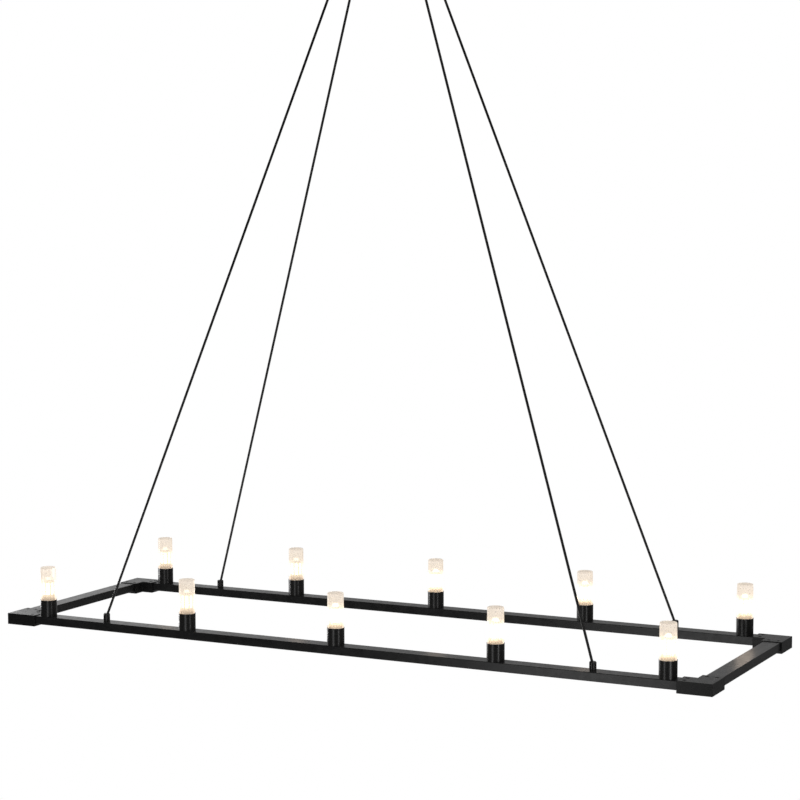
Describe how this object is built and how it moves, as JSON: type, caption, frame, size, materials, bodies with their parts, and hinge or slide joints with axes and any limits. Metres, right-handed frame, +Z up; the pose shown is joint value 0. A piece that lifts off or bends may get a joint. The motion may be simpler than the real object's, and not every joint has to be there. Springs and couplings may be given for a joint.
{
  "type": "linear island pendant",
  "caption": "Rectangular island pendant: a flat tube frame with small upright glass lamps along both long sides, hung on taut cables from a hub under a round canopy.",
  "frame": {"origin": "on the ceiling plane, at the middle of the mounting strap's two slots", "axes": "+Z up, out of the strap into the ceiling; +X along the long rails; +Y across the frame"},
  "size_m": [1.36, 0.426, 1.4312],
  "materials": {
    "black_finish": "satin black powder coat",
    "black_screws": "black oxide",
    "plated_steel": "zinc plated",
    "key_aluminium": "sawn",
    "terminal_plastic": "matte",
    "seat_nylon": "matte nylon",
    "holder_ceramic": "unglazed",
    "cable_sheath": "black sheathed flex",
    "frosted_glass": "fine frost",
    "led_lamp": "lit"
  },
  "bodies": {
    "ceiling_fitting": {"canopy": "black_finish", "mounting_strap": "plated_steel", "canopy_screws": "black_finish", "terminal_block": "terminal_plastic", "ball_socket": "black_finish"},
    "seat": {"ball_seat": "seat_nylon"},
    "ball": {"swivel_ball": "black_finish", "stem_nut": "plated_steel"},
    "pendant": {"front_rail": "black_finish", "back_rail": "black_finish", "left_end_bar": "black_finish", "right_end_bar": "black_finish", "corner_bracket_front_left": "black_finish", "corner_bracket_front_right": "black_finish", "corner_bracket_back_left": "black_finish", "corner_bracket_back_right": "black_finish", "corner_keys": "key_aluminium", "corner_screws": "black_screws", "socket_cup_1": "black_finish", "socket_cup_2": "black_finish", "socket_cup_3": "black_finish", "socket_cup_4": "black_finish", "socket_cup_5": "black_finish", "socket_cup_6": "black_finish", "socket_cup_7": "black_finish", "socket_cup_8": "black_finish", "socket_cup_9": "black_finish", "socket_cup_10": "black_finish", "lamp_holders": "holder_ceramic", "cup_nipples": "plated_steel", "lock_nuts": "plated_steel", "cable_anchors": "black_finish", "cable_ball_ends": "plated_steel", "cable_front_left": "cable_sheath", "cable_front_right": "cable_sheath", "cable_back_left": "cable_sheath", "cable_back_right": "cable_sheath", "cable_hub": "black_finish", "hub_cap": "black_finish", "hub_set_screws": "black_screws"},
    "glass_1": {"glass_shade_1": "frosted_glass"},
    "bulb_1": {"led_bulb_1": "led_lamp"},
    "glass_2": {"glass_shade_2": "frosted_glass"},
    "bulb_2": {"led_bulb_2": "led_lamp"},
    "glass_3": {"glass_shade_3": "frosted_glass"},
    "bulb_3": {"led_bulb_3": "led_lamp"},
    "glass_4": {"glass_shade_4": "frosted_glass"},
    "bulb_4": {"led_bulb_4": "led_lamp"},
    "glass_5": {"glass_shade_5": "frosted_glass"},
    "bulb_5": {"led_bulb_5": "led_lamp"},
    "glass_6": {"glass_shade_6": "frosted_glass"},
    "bulb_6": {"led_bulb_6": "led_lamp"},
    "glass_7": {"glass_shade_7": "frosted_glass"},
    "bulb_7": {"led_bulb_7": "led_lamp"},
    "glass_8": {"glass_shade_8": "frosted_glass"},
    "bulb_8": {"led_bulb_8": "led_lamp"},
    "glass_9": {"glass_shade_9": "frosted_glass"},
    "bulb_9": {"led_bulb_9": "led_lamp"},
    "glass_10": {"glass_shade_10": "frosted_glass"},
    "bulb_10": {"led_bulb_10": "led_lamp"}
  },
  "joints": [
    {"name": "swing_front_back", "type": "hinge", "parent": "ceiling_fitting", "child": "seat", "pos_m": [0, 0, -0.03], "axis": [1, 0, 0], "range_deg": [-15, 15]},
    {"name": "swing_left_right", "type": "hinge", "parent": "seat", "child": "ball", "pos_m": [0, 0, -0.03], "axis": [0, 1, 0], "range_deg": [-15, 15]},
    {"name": "turn_on_stem", "type": "hinge", "parent": "ball", "child": "pendant", "pos_m": [0, 0, -0.03], "axis": [0, 0, 1], "range_deg": [-170, 170]},
    {"name": "glass_1_lift", "type": "slide", "parent": "pendant", "child": "glass_1", "axis": [0, 0, 1], "range_m": [0, 0.06]},
    {"name": "glass_2_lift", "type": "slide", "parent": "pendant", "child": "glass_2", "axis": [0, 0, 1], "range_m": [0, 0.06]},
    {"name": "glass_3_lift", "type": "slide", "parent": "pendant", "child": "glass_3", "axis": [0, 0, 1], "range_m": [0, 0.06]},
    {"name": "glass_4_lift", "type": "slide", "parent": "pendant", "child": "glass_4", "axis": [0, 0, 1], "range_m": [0, 0.06]},
    {"name": "glass_5_lift", "type": "slide", "parent": "pendant", "child": "glass_5", "axis": [0, 0, 1], "range_m": [0, 0.06]},
    {"name": "glass_6_lift", "type": "slide", "parent": "pendant", "child": "glass_6", "axis": [0, 0, 1], "range_m": [0, 0.06]},
    {"name": "glass_7_lift", "type": "slide", "parent": "pendant", "child": "glass_7", "axis": [0, 0, 1], "range_m": [0, 0.06]},
    {"name": "glass_8_lift", "type": "slide", "parent": "pendant", "child": "glass_8", "axis": [0, 0, 1], "range_m": [0, 0.06]},
    {"name": "glass_9_lift", "type": "slide", "parent": "pendant", "child": "glass_9", "axis": [0, 0, 1], "range_m": [0, 0.06]},
    {"name": "glass_10_lift", "type": "slide", "parent": "pendant", "child": "glass_10", "axis": [0, 0, 1], "range_m": [0, 0.06]},
    {"name": "bulb_1_pull", "type": "slide", "parent": "pendant", "child": "bulb_1", "axis": [0, 0, 1], "range_m": [0, 0.015]},
    {"name": "bulb_2_pull", "type": "slide", "parent": "pendant", "child": "bulb_2", "axis": [0, 0, 1], "range_m": [0, 0.015]},
    {"name": "bulb_3_pull", "type": "slide", "parent": "pendant", "child": "bulb_3", "axis": [0, 0, 1], "range_m": [0, 0.015]},
    {"name": "bulb_4_pull", "type": "slide", "parent": "pendant", "child": "bulb_4", "axis": [0, 0, 1], "range_m": [0, 0.015]},
    {"name": "bulb_5_pull", "type": "slide", "parent": "pendant", "child": "bulb_5", "axis": [0, 0, 1], "range_m": [0, 0.015]},
    {"name": "bulb_6_pull", "type": "slide", "parent": "pendant", "child": "bulb_6", "axis": [0, 0, 1], "range_m": [0, 0.015]},
    {"name": "bulb_7_pull", "type": "slide", "parent": "pendant", "child": "bulb_7", "axis": [0, 0, 1], "range_m": [0, 0.015]},
    {"name": "bulb_8_pull", "type": "slide", "parent": "pendant", "child": "bulb_8", "axis": [0, 0, 1], "range_m": [0, 0.015]},
    {"name": "bulb_9_pull", "type": "slide", "parent": "pendant", "child": "bulb_9", "axis": [0, 0, 1], "range_m": [0, 0.015]},
    {"name": "bulb_10_pull", "type": "slide", "parent": "pendant", "child": "bulb_10", "axis": [0, 0, 1], "range_m": [0, 0.015]}
  ]
}
